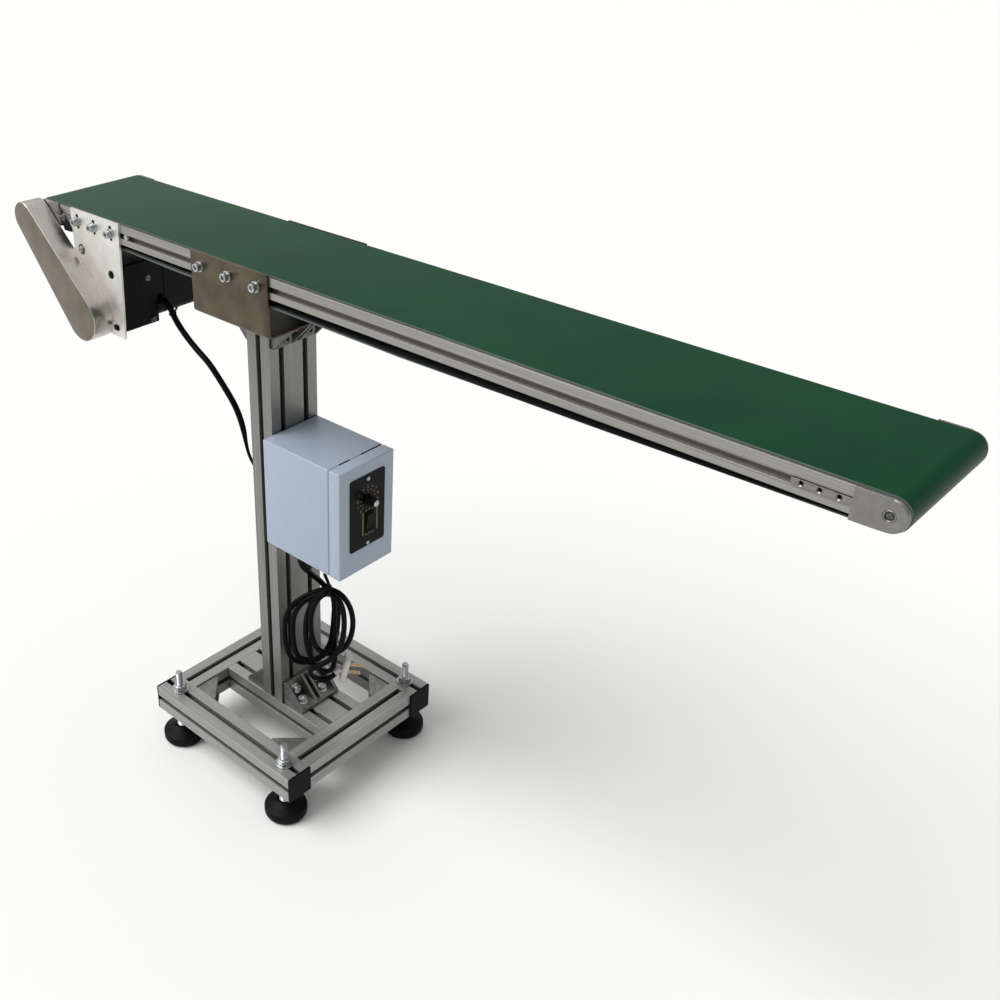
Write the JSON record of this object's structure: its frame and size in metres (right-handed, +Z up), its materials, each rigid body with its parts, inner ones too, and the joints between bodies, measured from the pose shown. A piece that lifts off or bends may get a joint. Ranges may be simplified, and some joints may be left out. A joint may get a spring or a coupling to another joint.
{
  "type": "belt conveyor",
  "caption": "Narrow belt conveyor on a single column stand with levelling feet, covered end drive and a speed control box.",
  "frame": {"origin": "on the floor, midway between the four levelling feet, under the column's centre line", "axes": "+X along the belt towards the tail roller, -Y the side with the drive cover, +Z up"},
  "size_m": [1.1828, 0.305, 0.7575],
  "materials": {
    "belt_green": "satin, smooth PVC-coated belt",
    "aluminium": "clear anodised, fine extrusion lines",
    "cast_aluminium": "die cast, tumbled",
    "stainless": "brushed",
    "stainless_dark": "hot-rolled stainless, brownish",
    "zinc": "zinc plated",
    "black_plastic": "moulded, slightly grained",
    "motor_black": "black stove enamel",
    "box_blue_grey": "smooth powder coat",
    "panel_black": "satin printed panel",
    "cord_black": "flexible PVC sheath",
    "plug_pale": "pale translucent",
    "brass": "bright"
  },
  "bodies": {
    "frame": {"base_centre": "aluminium", "base_end_head": "aluminium", "base_end_tail": "aluminium", "base_side_far": "aluminium", "base_side_near": "aluminium", "belt": "belt_green", "box_gland": "black_plastic", "bracket_bolts": "zinc", "column": "aluminium", "column_foot_brackets": "cast_aluminium", "column_top_brackets": "cast_aluminium", "control_box": "box_blue_grey", "corner_brackets": "cast_aluminium", "cover_back": "stainless", "deck": "stainless", "drive_cover": "stainless", "end_caps": "black_plastic", "foot_pads": "black_plastic", "foot_studs": "zinc", "gearbox": "motor_black", "head_block_far": "cast_aluminium", "head_block_near": "cast_aluminium", "head_plate": "stainless", "lead_coil": "cord_black", "mains_gland": "black_plastic", "mains_lead": "cord_black", "motor": "motor_black", "motor_gland": "black_plastic", "motor_lead": "cord_black", "plug": "plug_pale", "plug_pins": "brass", "rail_far": "aluminium", "rail_near": "aluminium", "saddle": "stainless_dark", "tail_axle": "zinc", "tail_block_far": "cast_aluminium", "tail_block_near": "cast_aluminium"},
    "drive_roller": {"drive_roller": "aluminium"},
    "tail_roller": {"tail_roller": "aluminium"},
    "lid": {"box_lid": "box_blue_grey", "speed_panel": "panel_black", "speed_knob": "black_plastic", "rocker_switch": "black_plastic", "speed_unit": "black_plastic"}
  },
  "joints": [
    {"name": "drive_roller_spin", "type": "hinge", "parent": "frame", "child": "drive_roller", "pos_m": [-0.371, 0, 0.74], "axis": [0, 1, 0], "continuous": true},
    {"name": "tail_roller_spin", "type": "hinge", "parent": "frame", "child": "tail_roller", "pos_m": [0.764, 0, 0.74], "axis": [0, 1, 0], "continuous": true},
    {"name": "lid_hinge", "type": "hinge", "parent": "frame", "child": "lid", "pos_m": [0.135, -0.0085, 0.5275], "axis": [0, -1, 0], "range_deg": [0, 95]}
  ],
  "couplings": [
    {"joint": "tail_roller_spin", "follows": "drive_roller_spin", "ratio": 1}
  ]
}
